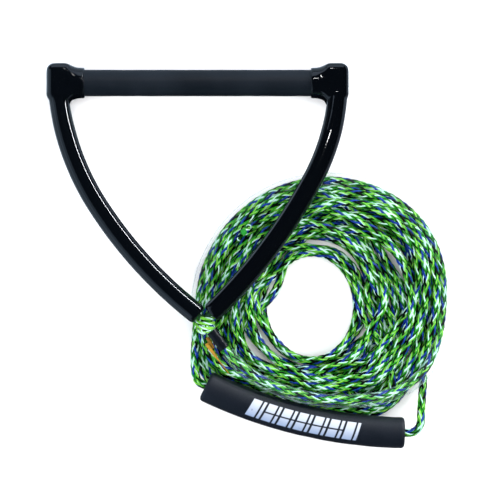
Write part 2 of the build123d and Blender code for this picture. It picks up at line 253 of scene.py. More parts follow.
def coil_start():
    """The coil's turns before they settle, and which of their points never move: loops that
    wander between the hole and the rim."""
    draw = np.random.default_rng(11)
    count = int(round(TURNS * POINTS_PER_TURN)) + 1
    index = np.arange(count)
    turn = index / POINTS_PER_TURN
    angle = START_ANGLE + 2 * math.pi * turn
    knots = np.arange(-1, WHOLE_TURNS * 3 + 6) / 3.0
    drift = 0.55 * draw.permutation(len(knots)) / (len(knots) - 1) + 0.45 * draw.random(len(knots))
    for first, last in RIM_TURNS:
        drift[(knots > first) & (knots < last)] = 1.0
    for first, last in HOLE_TURNS:
        drift[(knots > first) & (knots < last)] = 0.0
    share = np.interp(turn, knots, drift)
    width = POINTS_PER_TURN // 5
    kernel = np.hanning(width) / np.hanning(width).sum()
    share = np.convolve(np.pad(share, width, mode="edge"), kernel, mode="same")[width:-width]
    share = (share - share.min()) / (share.max() - share.min())
    share = np.clip(share * 1.06 - 0.03, 0, 1)
    inner = hole_edge(angle) + ROPE_RADIUS + HOLE_PLAY
    outer = rim(angle) - ROPE_RADIUS - RIM_PLAY
    radius = inner + share * (outer - inner)
    for centre, spread, _, turns in LOOSE_BULGES:
        for number in turns:
            away = angle - centre - 2 * math.pi * number
            radius += PULL * hump(away / (PULL_SPREAD * spread)) * (outer - radius)
    for centre, spread, part, turns in KEPT_TURNS:
        for number in turns:
            away = angle - centre - 2 * math.pi * number
            radius += PULL * hump(away / spread) * (inner + part * (outer - inner) - radius)
    height = ROPE_RADIUS + (COIL_HEIGHT - ROPE_DIAMETER) * turn / TURNS
    # the first points follow the rope's tail, the last ones lead to its tip
    lead_in = np.clip(1 - index / EASE, 0, 1)
    lead_in = lead_in * lead_in * (3 - 2 * lead_in)
    lead_out = lead_in[::-1]
    radius += lead_in * (outer - 0.0008 - radius) + lead_out * (END_RADIUS - radius)
    height += lead_in * (START_HEIGHT - height) + lead_out * (END_HEIGHT - height)
    # one low turn leans into the hole
    bight_angle, bight_radius, bight_height = on_polar(BIGHT_ROUTE)
    local = angle - 2 * math.pi * BIGHT_TURN
    inside = (local >= bight_angle[0]) & (local <= bight_angle[-1])
    first, last = np.nonzero(inside)[0][[0, -1]]
    away = np.maximum(np.maximum(first - index, index - last), 0)
    pull = np.clip(1 - away / BIGHT_EASE, 0, 1)
    radius += pull * (np.interp(local, bight_angle, bight_radius) - radius)
    height += pull * (np.interp(local, bight_angle, bight_height) - height)
    held = inside.copy()
    held[:HELD_ENDS] = True
    held[-HELD_ENDS:] = True
    x, y = COIL_CENTRE[0] + radius * np.cos(angle), COIL_CENTRE[1] + radius * np.sin(angle)
    return as_points(x, y, height), held, inside


def keep_inside(p):
    """Moves points back into the room that the coil has: table, rim, hole, top and float."""
    from_centre = p[:, :2] - COIL_CENTRE
    far = np.linalg.norm(from_centre, axis=1)
    edge = rim(np.arctan2(from_centre[:, 1], from_centre[:, 0]))
    limit = edge - ROPE_RADIUS
    too_far = far > limit
    p[too_far, :2] = COIL_CENTRE + from_centre[too_far] * (limit / far)[too_far, None]
    from_hole = p[:, :2] - HOLE_CENTRE
    scaled = from_hole / (HOLE_RADII + ROPE_RADIUS)
    size = np.linalg.norm(scaled, axis=1)
    inside = size < 1
    p[inside, :2] = HOLE_CENTRE + from_hole[inside] / size[inside][:, None]
    p[:, 2] = np.clip(p[:, 2], ROPE_RADIUS, COIL_HEIGHT - ROPE_RADIUS)
    # the rounded rim
    corner = edge - COIL_ROUND
    room = COIL_ROUND - ROPE_RADIUS
    from_centre = p[:, :2] - COIL_CENTRE
    out = np.linalg.norm(from_centre, axis=1)
    over, above = out - corner, p[:, 2] - (COIL_HEIGHT - COIL_ROUND)
    reach = np.hypot(over, above)
    round_off = (over > 0) & (above > 0) & (reach > room)
    new_out = corner + over * room / np.maximum(reach, 1e-9)
    p[round_off, :2] = COIL_CENTRE + (from_centre * (new_out / out)[:, None])[round_off]
    p[round_off, 2] = (COIL_HEIGHT - COIL_ROUND + above * room / np.maximum(reach, 1e-9))[round_off]
    # the float lies in a groove
    from_float = p[:, :2] - FLOAT_CENTRE
    ring = np.linalg.norm(from_float, axis=1)
    beside, below = ring - FLOAT_BEND, p[:, 2] - FLOAT_Z
    apart = np.hypot(beside, below)
    clear = FLOAT_RADIUS + ROPE_RADIUS + FLOAT_CLEARANCE
    hits = apart < clear
    push = clear / np.maximum(apart, 1e-6)
    moved_ring = FLOAT_BEND + beside * push
    p[hits, :2] = FLOAT_CENTRE + (from_float * (moved_ring / ring)[:, None])[hits]
    p[hits, 2] = np.maximum(FLOAT_Z + below[hits] * push[hits], ROPE_RADIUS)


def near_pairs(p, reach):
    """Pairs of points of different stretches that are nearer than reach."""
    found = []
    step = 400
    for first in range(0, len(p), step):
        block = p[first : first + step]
        apart = ((block[:, None, :] - p[None, first:, :]) ** 2).sum(-1)
        i, j = np.nonzero(apart < reach * reach)
        keep = j - i > 6
        found.append(np.stack([i[keep] + first, j[keep] + first], axis=1))
    return np.concatenate(found)


def smoothed(values, share):
    """Values moved by a share towards the middle of their neighbours."""
    middle = values.copy()
    middle[1:-1] = values[1:-1] + share * (0.5 * (values[:-2] + values[2:]) - values[1:-1])
    return middle


def settled_coil(fixed, fixed_radius):
    """Lets the turns settle onto the table and each other.  fixed are points that never move."""
    start, held, in_bight = coil_start()
    free = len(start)
    p = start.copy()
    sizes = np.concatenate([np.full(free, TURN_GAP / 2), fixed_radius])
    for round_index in range(RELAX_ROUNDS):
        if round_index % LIST_EVERY == 0:
            pairs = near_pairs(np.concatenate([p, fixed]), TURN_GAP + 0.005)
            pairs = pairs[pairs[:, 0] < free]
        everything = np.concatenate([p, fixed])
        apart = everything[pairs[:, 0]] - everything[pairs[:, 1]]
        distance = np.maximum(np.linalg.norm(apart, axis=1), 1e-6)
        overlap = np.clip(sizes[pairs].sum(1) - distance, 0, None)
        push = apart * (0.5 * overlap / distance)[:, None]
        count = np.bincount(pairs.ravel(), weights=np.repeat(overlap > 0, 2), minlength=len(everything))
        moved = np.zeros_like(everything)
        for axis in range(3):
            moved[:, axis] += np.bincount(pairs[:, 0], push[:, axis], len(everything))
            moved[:, axis] -= np.bincount(pairs[:, 1], push[:, axis], len(everything))
        moved /= np.maximum(count, 1)[:, None] ** 0.7
        p += moved[:free]
        p[:, 2] -= SETTLE
        shift = p - start
        for _ in range(3):
            shift = smoothed(shift, SMOOTHING)
        p = start + shift
        keep_inside(p)
        p[held] = start[held]
    return p, in_bight


def looked_up(at, along, values):
    """Three-part values at some lengths along a line, from those at other lengths."""
    return np.stack([np.interp(at, along, values[:, k]) for k in range(3)], axis=1)


def lengths_along(points):
    """The length of a line up to each of its points."""
    return np.concatenate([[0], np.cumsum(np.linalg.norm(np.diff(points, axis=0), axis=1))])


def between(points, step):
    """A line's points again, a step apart, with straight lines between those that it has."""
    points = np.asarray(points, float)
    along = lengths_along(points)
    return looked_up(np.linspace(0, along[-1], int(math.ceil(along[-1] / step)) + 1), along, points)


FLOAT_POINTS = 9


def float_line(count):
    """Points along the float's centre line, from its left mouth to its right one."""
    angle = np.linspace(FLOAT_MIDDLE - FLOAT_HALF, FLOAT_MIDDLE + FLOAT_HALF, count)
    x, y = FLOAT_CENTRE[0] + FLOAT_BEND * np.cos(angle), FLOAT_CENTRE[1] + FLOAT_BEND * np.sin(angle)
    return as_points(x, y, FLOAT_Z)


def rope_controls():
    """The rope's control points, from the sleeve to the melted end."""
    lead, *others = (between(route, ROUTE_STEP) for route in (LEAD_ROUTE, TAIL_ROUTE[:-1], TIP_ROUTE[1:]))
    others = np.concatenate(others)
    fixed_radius = np.repeat([LEAD_CLEARANCE, TURN_GAP / 2], [len(lead), len(others)])
    coil, in_bight = settled_coil(np.concatenate([lead, others]), fixed_radius)
    first_bight, last_bight = np.nonzero(in_bight)[0][[0, -1]]
    margin = CONTROL_STEP // 2
    before = coil[CONTROL_STEP : first_bight - margin : CONTROL_STEP]
    after = coil[last_bight + margin : -1 : CONTROL_STEP]
    to_coil = [[ROPE_EXIT], LEAD_ROUTE, float_line(FLOAT_POINTS), TAIL_ROUTE]
    return np.concatenate([*to_coil, before, BIGHT_ROUTE, after, TIP_ROUTE])


# ---------- the rope's line
LINE_STEP = 0.0025
SPLINE_STEPS = 16


def nurbs_line(points, name):
    """The points of a NURBS spline through control points, as Blender gives them with no bevel."""
    curve = bpy.data.curves.new(name, "CURVE")
    curve.dimensions = "3D"
    spline = curve.splines.new("NURBS")
    spline.points.add(len(points) - 1)
    for knot, place in zip(spline.points, points):
        knot.co = (*place, 1.0)
    spline.order_u = 3
    spline.use_endpoint_u = True
    spline.resolution_u = SPLINE_STEPS
    holder = bpy.data.objects.new(name, curve)
    mesh = bpy.data.meshes.new_from_object(holder)
    line = np.array([v.co for v in mesh.vertices], float)
    bpy.data.objects.remove(holder)
    bpy.data.meshes.remove(mesh)
    bpy.data.curves.remove(curve)
    return line


class Line:
    """A smooth line with its length and a frame that doesn't twist."""

    def __init__(self, points, step):
        self.points = between(points, step)
        self.along = lengths_along(self.points)
        self.length = float(self.along[-1])
        tangent = np.gradient(self.points, axis=0)
        self.tangent = tangent / np.linalg.norm(tangent, axis=1)[:, None]
        normal = np.zeros_like(self.points)
        guess = np.array([0.0, 0.0, 1.0]) if abs(self.tangent[0][2]) < 0.9 else np.array([1.0, 0, 0])
        for i, t in enumerate(self.tangent):
            guess = guess - t * guess.dot(t)
            guess = guess / math.sqrt(guess.dot(guess))
            normal[i] = guess
        self.normal = normal
        self.side = np.cross(self.tangent, self.normal)

    def rings(self, sizes, corners, stations=None, start=0.0):
        """Circles round the line, at stations along it or at each of its points."""
        at = self.along if stations is None else np.asarray(stations, float)
        frames = (self.points, self.normal, self.side)
        middle, normal, side = (looked_up(at, self.along, values) for values in frames)
        angle = around(corners, start)
        sizes = np.asarray(sizes, float)
        if sizes.ndim == 1:
            sizes = sizes[:, None]
        sizes = np.broadcast_to(sizes, (len(at), corners))[:, :, None]
        out = np.cos(angle)[None, :, None] * normal[:, None, :]
        out = out + np.sin(angle)[None, :, None] * side[:, None, :]
        return middle[:, None, :] + sizes * out


def skin(name, rings, along, wrap=False, capped=True):
    """A smooth mesh over rings of points.  Its UVs are the length along and the share of a turn.
    The ends are capped, or with wrap the last ring joins the first."""
    rings = np.asarray(rings, np.float32)
    rows, columns = rings.shape[:2]
    first = np.arange(rows if wrap else rows - 1)
    i, k = first[:, None] * columns, ((first + 1) % rows)[:, None] * columns
    j = np.arange(columns)[None, :]
    nxt = (j + 1) % columns
    corners = np.stack([i + j, i + nxt, k + nxt, k + j], axis=-1).ravel()
    sizes = np.full(len(first) * columns, 4)
    low, high = along[first][:, None], along[(first + 1) % rows][:, None]
    u = np.stack(np.broadcast_arrays(low, low, high, high + 0.0 * j), axis=-1)
    v = np.stack(np.broadcast_arrays(j, j + 1, j + 1, j + 0.0 * low), axis=-1) / columns
    uv = np.stack([u.ravel(), v.ravel()], axis=-1)
    if capped and not wrap:
        ring = np.arange(columns)
        corners = np.concatenate([corners, ring[::-1], (rows - 1) * columns + ring])
        sizes = np.append(sizes, [columns, columns])
        ends = np.repeat([along[0], along[-1]], columns)
        uv = np.concatenate([uv, np.stack([ends, np.tile(ring / columns, 2)], axis=-1)])
    mesh = bpy.data.meshes.new(name)
    mesh.vertices.add(rows * columns)
    mesh.vertices.foreach_set("co", rings.ravel())
    mesh.loops.add(len(corners))
    mesh.loops.foreach_set("vertex_index", corners.astype(np.int32))
    mesh.polygons.add(len(sizes))
    starts = np.concatenate([[0], np.cumsum(sizes)[:-1]]).astype(np.int32)
    mesh.polygons.foreach_set("loop_start", starts)
    mesh.update(calc_edges=True)
    mesh.polygons.foreach_set("use_smooth", sizes == 4)
    layer = mesh.uv_layers.new(name="Along")
    layer.data.foreach_set("uv", uv.astype(np.float32).ravel())
    return add_object(name, mesh)


def rod(name, line, radius, corners=12):
    """A solid round rod along a line."""
    return skin(name, line.rings(radius, corners), line.along)


# ---------- the braid
CARRIERS = 8  # strands that turn each way
WAVES = CARRIERS // 2  # in one turn of a strand, which goes over two others and under two
LAY_LENGTH = 0.064  # one full turn of a strand
BRAID_RADIUS = 0.00325
OVER_UNDER = 0.00050
STRAND_WIDTH = 0.00124  # half
STRAND_THICKNESS = 0.00065  # half
STRAND_CORNERS = 6


def strand(name, line, way, index):
    """One flat strand of a two-over, two-under braid round a line."""
    turn = line.along / LAY_LENGTH
    theta = way * 2 * math.pi * turn + 2 * math.pi * index / CARRIERS
    weave = way * np.cos(way * 2 * WAVES * math.pi * turn + math.pi * index - math.pi / 4)
    radius = BRAID_RADIUS + OVER_UNDER * weave
    cos, sin = np.cos(theta)[:, None], np.sin(theta)[:, None]
    out = cos * line.normal + sin * line.side
    round_way = -sin * line.normal + cos * line.side
    slope = way * 2 * math.pi * BRAID_RADIUS / LAY_LENGTH
    heading = line.tangent + slope * round_way
    heading /= np.linalg.norm(heading, axis=1)[:, None]
    across = np.cross(heading, out)
    middle = line.points + radius[:, None] * out
    corner = around(STRAND_CORNERS)
    rings = (
        middle[:, None, :]
        + (STRAND_THICKNESS * np.cos(corner))[None, :, None] * out[:, None, :]
        + (STRAND_WIDTH * np.sin(corner))[None, :, None] * across[:, None, :]
    )
    return skin(name, rings, line.along)


# ---------- materials
class Shader:
    """A Principled material, with short ways to add nodes and join them."""

    def __init__(self, name, base, roughness, specular=0.5, metallic=0.0):
        self.material = bpy.data.materials.new(name)
        self.material.use_nodes = True
        self.tree = self.material.node_tree
        self.principled = self.tree.nodes["Principled BSDF"]
        sockets = ("Base Color", "Roughness", "Specular IOR Level", "Metallic")
        for socket, value in zip(sockets, ((*base, 1.0), roughness, specular, metallic)):
            self.principled.inputs[socket].default_value = value

    def node(self, kind, inputs=None, **settings):
        made = self.tree.nodes.new(kind)
        for key, value in settings.items():
            setattr(made, key, value)
        for key, value in (inputs or {}).items():
            if isinstance(value, bpy.types.NodeSocket):
                self.tree.links.new(value, made.inputs[key])
            else:
                made.inputs[key].default_value = value
        return made

    def link(self, source, socket):
        self.tree.links.new(source, self.principled.inputs[socket])

    def math(self, operation, a, b=0.0):
        return self.node("ShaderNodeMath", {0: a, 1: b}, operation=operation).outputs[0]

    def uv(self):
        return self.node("ShaderNodeUVMap", uv_map="Along").outputs[0]

    def along_and_around(self):
        return self.node("ShaderNodeSeparateXYZ", {0: self.uv()}).outputs[:2]

    def place(self, scale=(1.0, 1.0, 1.0), uv=False):
        source = self.uv() if uv else self.node("ShaderNodeTexCoord").outputs["Object"]
        return self.node("ShaderNodeMapping", {"Vector": source, "Scale": scale}).outputs[0]

    def noise(self, vector, scale, detail=2.0, roughness=0.5):
        values = {"Vector": vector, "Scale": scale, "Detail": detail, "Roughness": roughness}
        return self.node("ShaderNodeTexNoise", values).outputs[0]

    def ranged(self, value, low, high, new_low=0.0, new_high=1.0):
        values = {"Value": value, "From Min": low, "From Max": high}
        values.update({"To Min": new_low, "To Max": new_high})
        return self.node("ShaderNodeMapRange", values).outputs[0]

    def blend(self, factor, first, second):
        first, second = ((*tone, 1.0) if isinstance(tone, tuple) else tone for tone in (first, second))
        inputs = {0: factor, 6: first, 7: second}
        return self.node("ShaderNodeMix", inputs, data_type="RGBA").outputs[2]

    def bump(self, height, strength, distance, after=None):
        values = {"Height": height, "Strength": strength, "Distance": distance}
        if after is not None:
            values["Normal"] = after
        made = self.node("ShaderNodeBump", values).outputs[0]
        self.link(made, "Normal")
        return made


def yarn_material(name, first_tones, second_tones, shine):
    """Two polypropylene yarns side by side: fine fibres along them, a shade that drifts, and
    painted shade in the groove between the two."""
    shader = Shader(name, first_tones[1], 0.45, specular=shine)
    fibres = shader.noise(shader.place((300.0, 14.0, 1.0), uv=True), 1.0)
    drift = shader.noise(shader.place((46.0, 1.0, 1.0), uv=True), 1.0, 1.0)
    shade = shader.math("ADD", shader.math("MULTIPLY", fibres, 0.5), shader.math("MULTIPLY", drift, 0.7))
    lit = shader.ranged(shade, 0.40, 0.80)
    first, second = (shader.blend(lit, *tones) for tones in (first_tones, second_tones))
    round_share = shader.along_and_around()[1]
    colour = shader.blend(shader.ranged(round_share, 0.49, 0.51), first, second)
    from_middle = shader.math("ABSOLUTE", shader.math("SUBTRACT", round_share, 0.5))
    from_groove = shader.math("SUBTRACT", 0.5, from_middle)
    # painted shade: along the seam between the two yarns the colour falls to the first yarn's darkest
    # tone
    colour = shader.blend(shader.ranged(from_groove, 0.0, 0.030), first_tones[0], colour)
    shader.link(colour, "Base Color")
    shader.link(shader.ranged(fibres, 0.3, 0.7, 0.37, 0.59), "Roughness")
    shader.bump(fibres, 0.4, 0.0002)
    return shader.material


def gloss_material():
    """Black dipped vinyl: glossy, with faint waves and rubbed spots."""
    shader = Shader("black_gloss", (0.0012, 0.0018, 0.0028), 0.07, specular=0.5)
    place = shader.place()
    waves = shader.noise(place, 18.0, 0.0)
    scuffs = shader.noise(place, 420.0, 3.0, 0.7)
    worn = shader.ranged(scuffs, 0.58, 0.8, 0.05, 0.14)
    rough = shader.math("ADD", worn, shader.ranged(waves, 0.4, 0.7, 0.0, 0.03))
    shader.link(rough, "Roughness")
    shader.bump(waves, 0.02, 0.0006)
    return shader.material


def grip_material():
    """The bar's rubber grip: matte, finely pored, a little worn."""
    shader = Shader("grip_rubber", (0.004, 0.006, 0.010), 0.44, specular=0.30)
    place = shader.place()
    grain = shader.noise(place, 900.0, 3.0, 0.65)
    dents = shader.noise(place, 120.0, 1.0)
    patches = shader.noise(place, 22.0)
    dark, light = (0.0022, 0.0040, 0.0070), (0.0045, 0.0072, 0.0115)
    shader.link(shader.blend(shader.ranged(patches, 0.35, 0.7), dark, light), "Base Color")
    shader.link(shader.ranged(grain, 0.3, 0.75, 0.42, 0.62), "Roughness")
    first = shader.bump(dents, 0.25, 0.0006)
    shader.bump(grain, 0.35, 0.0002, first)
    return shader.material


def plain_material(name, base, roughness, scale=300.0, metallic=0.0, bump=0.2):
    """A lightly grained material for the parts that are hidden or nearly so."""
    shader = Shader(name, base, roughness, metallic=metallic)
    grain = shader.noise(shader.place(), scale, 2.0)
    darker = tuple(0.75 * c for c in base)
    shader.link(shader.blend(shader.ranged(grain, 0.35, 0.7), darker, base), "Base Color")
    shader.link(shader.ranged(grain, 0.3, 0.7, roughness - 0.06, roughness + 0.08), "Roughness")
    shader.bump(grain, bump, 0.0002)
    return shader.material


PRINT_START, PRINT_END = 0.050, 0.165  # along the float, from its left end
PRINT_TOP, PRINT_BOTTOM = 0.415, 0.612  # round the float, as a share of a turn from its underside
PRINT_STEP = (PRINT_END - PRINT_START) / 7
PRINT_SLANT = 0.004
PRINT_SOFT = 0.0002  # how soft the print's ends are


def float_material():
    """Closed-cell foam with a generic silver print of slanted bars, painted paler towards its north edge
    as a sheen.
    """
    shader = Shader("float_foam", (0.004, 0.007, 0.012), 0.46, specular=0.46)
    place = shader.place()
    pores = shader.noise(place, 1100.0, 2.0, 0.6)
    patches = shader.noise(place, 30.0)
    dark, light = (0.0024, 0.0042, 0.0080), (0.0042, 0.0064, 0.0115)
    foam = shader.blend(shader.ranged(patches, 0.35, 0.7), dark, light)
    along, round_share = shader.along_and_around()

    def within(value, low, high, soft):
        rise = shader.ranged(value, low - soft, low + soft)
        fall = shader.ranged(value, high - soft, high + soft, 1.0, 0.0)
        return shader.math("MULTIPLY", rise, fall)

    height = shader.ranged(round_share, PRINT_TOP, PRINT_BOTTOM)
    slanted = shader.math("ADD", along, shader.math("MULTIPLY", height, PRINT_SLANT))
    from_start = shader.math("SUBTRACT", slanted, PRINT_START)
    bar = shader.math("FRACT", shader.math("DIVIDE", from_start, PRINT_STEP))
    bars = shader.math("MAXIMUM", within(bar, 0.06, 0.62, 0.015), within(bar, 0.74, 0.92, 0.015))
    band = within(round_share, PRINT_TOP, PRINT_BOTTOM, 0.002)
    ends = within(slanted, PRINT_START, PRINT_END, PRINT_SOFT)
    cut = shader.math("SUBTRACT", 1.0, within(height, 0.46, 0.54, 0.015))
    inner = within(slanted, PRINT_START + PRINT_STEP, PRINT_END - PRINT_STEP, PRINT_SOFT)
    keep = shader.math("MAXIMUM", cut, shader.math("SUBTRACT", 1.0, inner))
    worn = shader.ranged(shader.noise(place, 260.0, 4.0, 0.7), 0.30, 0.36, 0.55)
    mask = bars
    for limit in (band, ends, keep, worn):
        mask = shader.math("MULTIPLY", mask, limit)
    # painted sheen: the print is pale silver at its north edge and darkens to blue towards its south edge
    silver_print_painted_sheen = shader.blend(height, (0.50, 0.53, 0.58), (0.20, 0.27, 0.42))
    shader.link(shader.blend(mask, foam, silver_print_painted_sheen), "Base Color")
    rough = shader.ranged(pores, 0.3, 0.7, 0.5, 0.7)
    shader.link(shader.math("SUBTRACT", rough, shader.math("MULTIPLY", mask, 0.2)), "Roughness")
    shader.bump(pores, 0.3, 0.0002)
    return shader.material


def clear_material():
    """Clear soft vinyl: hardly seen face on, pale blue where one looks along its wall, with
    painted shade as a darker outline at its silhouette."""
    tint, dark = (0.40, 0.55, 0.60), (0.10, 0.12, 0.13)
    shader = Shader("clear_vinyl", tint, 0.08, specular=0.7)
    facing = shader.node("ShaderNodeLayerWeight", {"Blend": 0.35}).outputs["Facing"]
    haze = shader.noise(shader.place(), 60.0)
    sides, painted_edge_shade = shader.math("POWER", facing, 3.4), shader.math("POWER", facing, 10.0)
    # painted shade: the colour goes dark grey where the wall is seen edge on
    shader.link(shader.blend(painted_edge_shade, tint, dark), "Base Color")
    wall = shader.ranged(sides, 0.0, 1.0, 0.010, 0.85)
    shader.link(shader.math("ADD", wall, shader.ranged(haze, 0.35, 0.7, 0.0, 0.012)), "Alpha")
    shader.bump(haze, 0.05, 0.0005)
    return shader.material


def wear(piece, material):
    """Puts a material on a piece, or on a CAD node through its own slots."""
    if "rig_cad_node" in piece:
        for slot in piece.material_slots:
            slot.link = "OBJECT"
            slot.material = material
    else:
        piece.data.materials.clear()
        piece.data.materials.append(material)
    return piece


# ---------- the rope and what is on it
YARNS = {
    "green": ((0.002, 0.045, 0.005), (0.022, 0.330, 0.014)),
    "lime": ((0.028, 0.240, 0.012), (0.260, 0.660, 0.070)),
    "mint": ((0.170, 0.430, 0.340), (0.640, 0.860, 0.800)),
    "blue": ((0.0010, 0.009, 0.095), (0.003, 0.040, 0.360)),
    # black: the rope's own black yarn, and also painted shade in the gaps between picks
    "black": ((0.0003, 0.0012, 0.0010), (0.0010, 0.0045, 0.0030)),
}
# centre, start, sweep and size of each curl of loose yarn at the rope's cut end
CURLS = ((0.0520, -0.0305, -0.6, 3.4, 0.0026), (0.0430, -0.0420, 2.4, 2.6, 0.0022))
CURL_HEIGHT = 0.0352
# the two yarns of each strand, in order round the rope. There are more black yarns than the rope's own
# black ones: the extra ones are painted shade for the gaps between picks.
TURNING_LEFT = (
    ("blue", "blue"),
    ("mint", "mint"),
    ("black", "green"),
    ("lime", "mint"),
    ("green", "lime"),
    ("black", "black"),
    ("lime", "green"),
    ("black", "green"),
)
TURNING_RIGHT = (
    ("lime", "mint"),
    ("black", "green"),
    ("mint", "green"),
    ("green", "lime"),
    ("black", "black"),
    ("blue", "blue"),
    ("green", "black"),
    ("lime", "green"),
)


def yarns(first, second):
    """The material of two yarns side by side, made when it is first asked for."""
    name = f"yarn_{first}_{second}"
    shine = 0.12 if first == "black" else 0.3
    return bpy.data.materials.get(name) or yarn_material(name, YARNS[first], YARNS[second], shine)


def make_rope():
    """The main rope: sixteen strands braided over a near-black core, whose colour is painted shade in the
    gaps between the strands, along one line.
    """
    line = Line(nurbs_line(rope_controls(), "rope_route"), LINE_STEP)
    strands = []
    for way, colours in ((1, TURNING_LEFT), (-1, TURNING_RIGHT)):
        side = "left" if way > 0 else "right"
        for index, colour in enumerate(colours):
            piece = strand(f"rope_strand_{side}_{index + 1}", line, way, index)
            wear(piece, yarns(*colour))
            strands.append(piece)
    core = rod("rope_core", line, BRAID_RADIUS - 0.0006, 8)
    # near-black: painted shade for the gaps between the strands
    wear(core, plain_material("core_yarn_painted_shade", (0.0010, 0.0050, 0.0030), 0.8))
    return line, strands, core


def part_of(line, start, end):
    """A stretch of a line, from one length along it to another."""
    chosen = (line.along >= start) & (line.along <= end)
    return Line(line.points[chosen], LINE_STEP)


SLEEVE_BEGINS = 0.0034  # along the rope
SLEEVE_ENDS_BY = (-0.0021, -0.1270, 0.0087)


def make_clear_tube(line):
    """The clear sleeve over the rope, from the black sleeve round the coil to under the left arm."""
    reach = np.linalg.norm(line.points - np.array(SLEEVE_ENDS_BY), axis=1)
    reach[line.along > 1.0] = 1.0  # only the first metre of the rope can lie there
    end = line.along[int(np.argmin(reach))]
    covered = part_of(line, SLEEVE_BEGINS, end)
    # the rope lies against the sleeve's inner side all the way round the coil
    outward = covered.points - np.array([*COIL_CENTRE, 0.0])
    outward[:, 2] = 0.0
    outward -= covered.tangent * (outward * covered.tangent).sum(1)[:, None]
    outward /= np.linalg.norm(outward, axis=1)[:, None]
    ease = np.clip(np.minimum(covered.along, covered.length - covered.along) / SLEEVE_EASE, 0, 1)
    covered = Line(covered.points + (SLEEVE_OFFSET * ease)[:, None] * outward, LINE_STEP)
    outside = covered.rings(CLEAR_OUTER, 24)
    inside = covered.rings(CLEAR_INNER, 24)[::-1]
    along = np.concatenate([covered.along, covered.along[::-1]])
    piece = skin("clear_sleeve", np.concatenate([outside, inside]), along, wrap=True)
    return wear(piece, clear_material())


def make_melted_end(line):
    """The rope's cut end, melted to a green button, and two curls of yarn that came loose."""
    end = line.points[-1]
    heading = line.tangent[-1]
    button_line = Line([end - heading * 0.0030, end + heading * 0.0012], 0.0003)
    stations = np.array([0.0, 0.0028, 0.0034, 0.0038, 0.0041, 0.0042, 0.0042])
    sizes = np.array([0.0030, 0.0032, 0.0034, 0.0033, 0.0029, 0.0020, 0.0004])
    button = skin("rope_melted_end", button_line.rings(sizes, 32, stations), stations)
    shader = Shader("melted_yarn", (0.012, 0.330, 0.022), 0.30, specular=0.4)
    swirl = shader.noise(shader.place(), 700.0)
    colour = shader.blend(shader.ranged(swirl, 0.4, 0.7), (0.005, 0.17, 0.010), (0.014, 0.30, 0.022))
    shader.link(colour, "Base Color")
    shader.bump(swirl, 0.4, 0.0004)
    wear(button, shader.material)
    curls = []
    rise = CURL_HEIGHT + 0.0012 * np.sin(np.linspace(0, math.pi, 24))
    for number, (x, y, start, sweep, size) in enumerate(CURLS):
        angle = np.linspace(start, start + sweep, 24)
        places = as_points(x + size * np.cos(angle), y + size * np.sin(angle), rise)
        curl_line = Line(places, 0.0004)
        thick = 0.0007 * np.sin(np.linspace(0.35, math.pi - 0.25, len(curl_line.points)))
        curl = skin(f"rope_curl_{number + 1}", curl_line.rings(thick, 8), curl_line.along)
        curls.append(wear(curl, yarns("mint", "mint")))
    return [button, *curls]


make_camera()
rope_line, strands, rope_core = make_rope()
clear_sleeve = make_clear_tube(rope_line)
melted = make_melted_end(rope_line)
for piece in (*strands, rope_core, *melted):
    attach(piece, "coil")
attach(clear_sleeve, "coil")
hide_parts("rope_coil", "rope_lead", "rope_tail", "boat_bight", "float_rope")
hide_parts("rope_tip")
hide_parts("clear_tube")


# ---------- the moulded arms
def swelling(sign):
    """The bulge where a corner runs down to its collar, hollow like the corner itself."""
    stations = np.array([0.0, 0.002, 0.005, 0.008, 0.011, 0.014, 0.018])
    sizes = np.array([0.0153, 0.0156, 0.0166, 0.0182, 0.0192, 0.0195, 0.0196])
    line = Line([(sign * 0.1225, BAR_Y, BAR_Z), (sign * 0.1405, BAR_Y, BAR_Z)], 0.001)
    inner = np.full(len(stations), 0.0114)
    rings = np.concatenate([line.rings(sizes, 48, stations), line.rings(inner, 48, stations[::-1])])
    flat = rings[:, :, 2] - BAR_Z
    rings[:, :, 2] = BAR_Z + np.sign(flat) * np.minimum(np.abs(flat), 0.0138)
    bulge = skin("swelling", rings, np.concatenate([stations, stations[::-1]]), wrap=True)
    mesh = bulge.data
    bpy.data.objects.remove(bulge)
    return mesh


ARM_FROM, ARM_EASE = 0.088, 0.020  # along Y: where the plain arm begins
COVER_LOWEST = 0.0002  # how near the table it may come
COVER_VOXEL = 0.0008
COVER_SMOOTHING, ARM_SMOOTHING = 26, 90
COVER_SWELL = 0.0006  # what a smoothing takes off


def smooth_out(thing, rounds, group=""):
    """Smooths a thing, fills it up again, and makes the result of all its modifiers its mesh."""
    smooth = thing.modifiers.new("smooth", "SMOOTH")
    smooth.factor, smooth.iterations, smooth.vertex_group = 0.5, rounds, group
    swell = thing.modifiers.new("swell", "DISPLACE")
    swell.strength, swell.mid_level, swell.vertex_group = COVER_SWELL, 0.0, group
    shown = thing.evaluated_get(bpy.context.evaluated_depsgraph_get())
    finished = bpy.data.meshes.new_from_object(shown)
    thing.modifiers.clear()
    thing.data = finished


